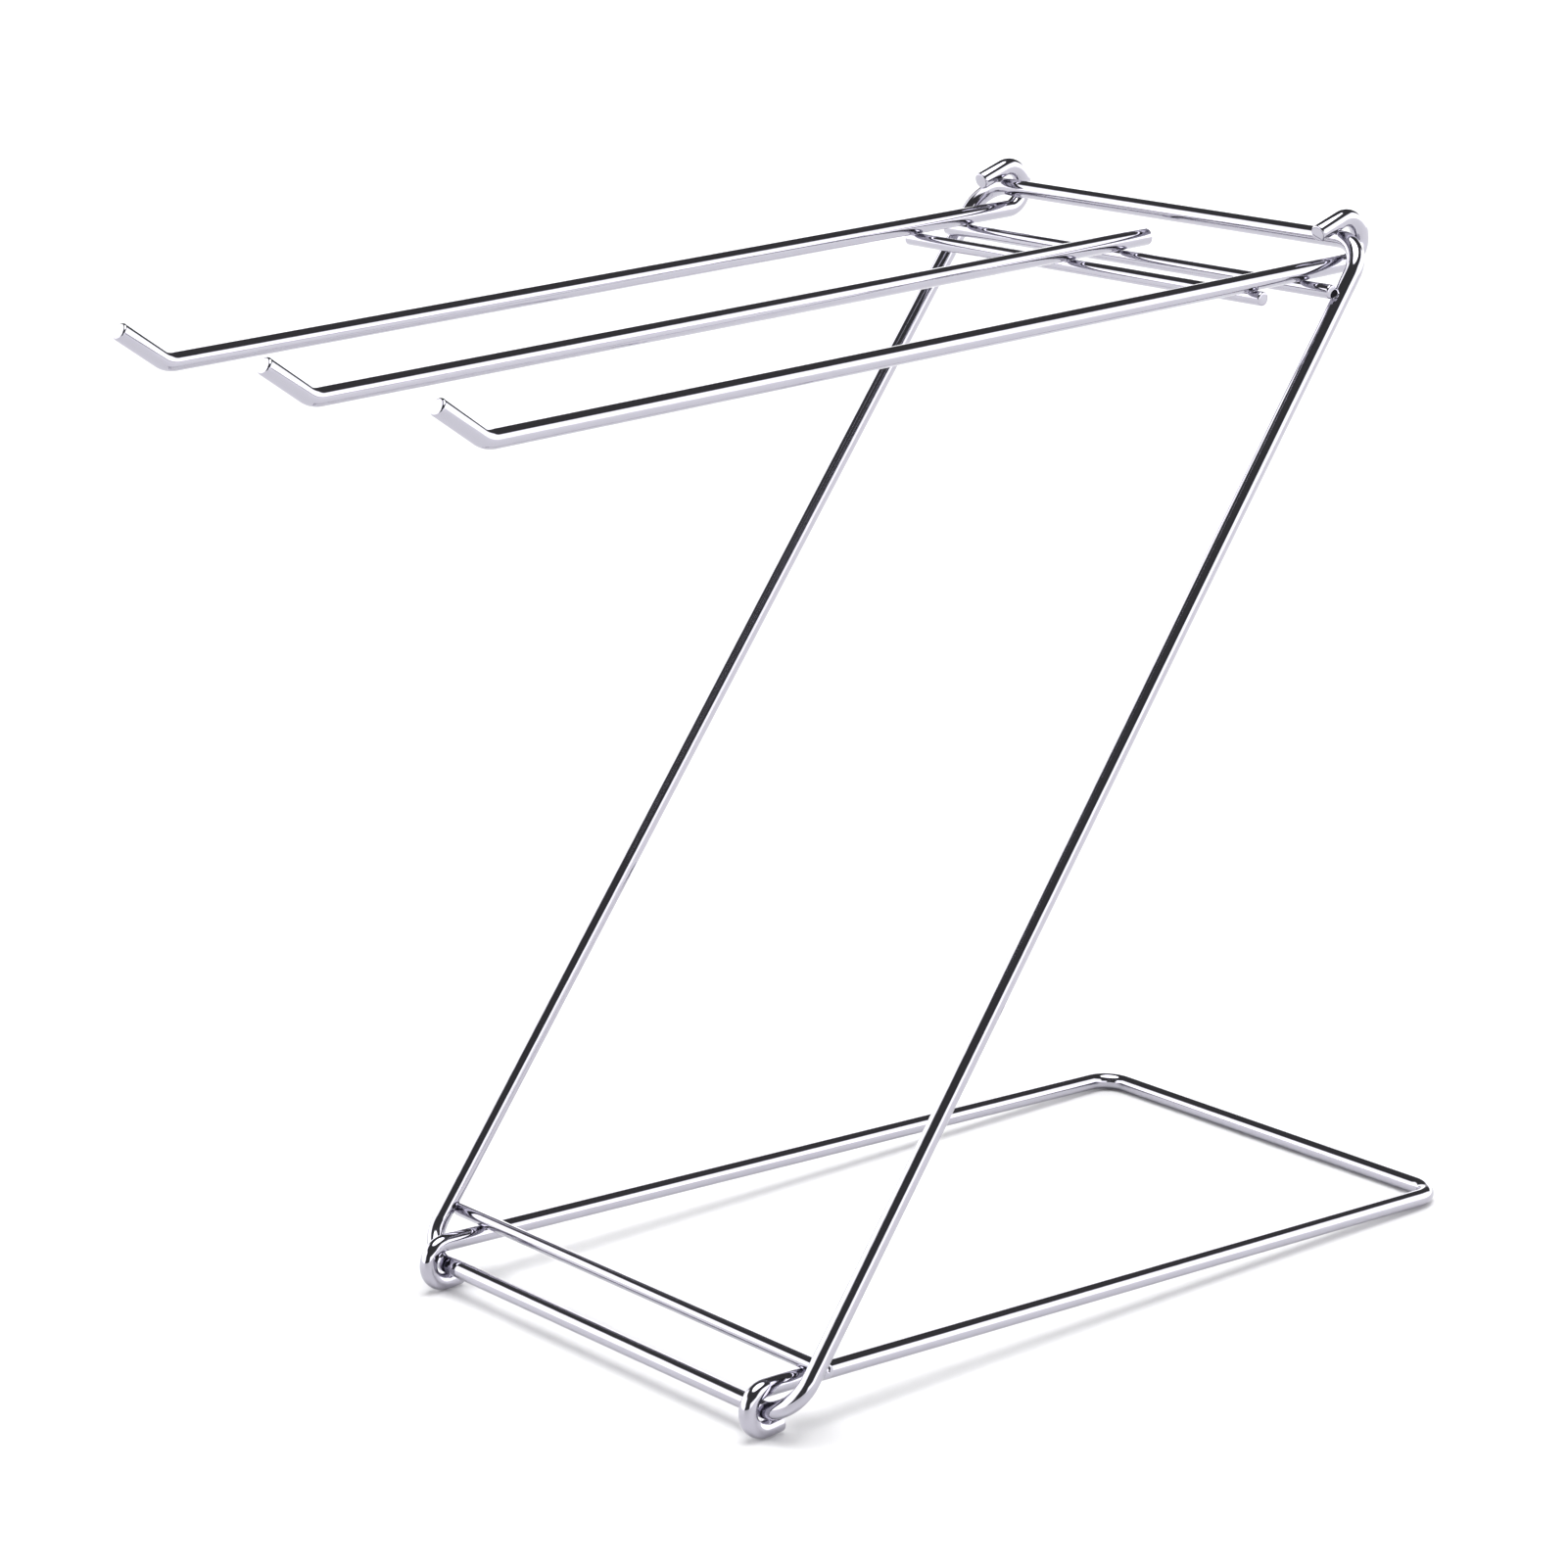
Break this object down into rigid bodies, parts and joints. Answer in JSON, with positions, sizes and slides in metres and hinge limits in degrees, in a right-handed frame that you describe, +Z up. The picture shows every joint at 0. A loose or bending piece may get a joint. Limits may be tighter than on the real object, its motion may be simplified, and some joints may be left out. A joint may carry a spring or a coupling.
{
  "type": "folding wire hanging stand",
  "caption": "Folding Z-shaped counter-top stand of chromed steel wire: long arms with turned-up tips hold dish cloths or small goods clear of the table.",
  "frame": {"origin": "on the table under the middle of the open stand's bounding box", "axes": "+Z up, +Y from the arm tips at the front to the back of the base, X across the stand"},
  "size_m": [0.1576, 0.3534, 0.2901],
  "materials": {
    "chromed_wire": "polished"
  },
  "bodies": {
    "base": {"base_frame": "chromed_wire"},
    "middle": {"middle_frame": "chromed_wire", "lower_stop_bar": "chromed_wire", "upper_stop_bar": "chromed_wire"},
    "rack": {"left_arm": "chromed_wire", "middle_arm": "chromed_wire", "right_arm": "chromed_wire", "arm_cross_bar": "chromed_wire"}
  },
  "joints": [
    {"name": "frame_fold", "type": "hinge", "parent": "base", "child": "middle", "pos_m": [0, -0.08065, 0.0075], "axis": [1, 0, 0], "range_deg": [0, 304]},
    {"name": "rack_fold", "type": "hinge", "parent": "middle", "child": "rack", "pos_m": [0, 0.12338, 0.28222], "axis": [-1, 0, 0], "range_deg": [0, 250]}
  ]
}
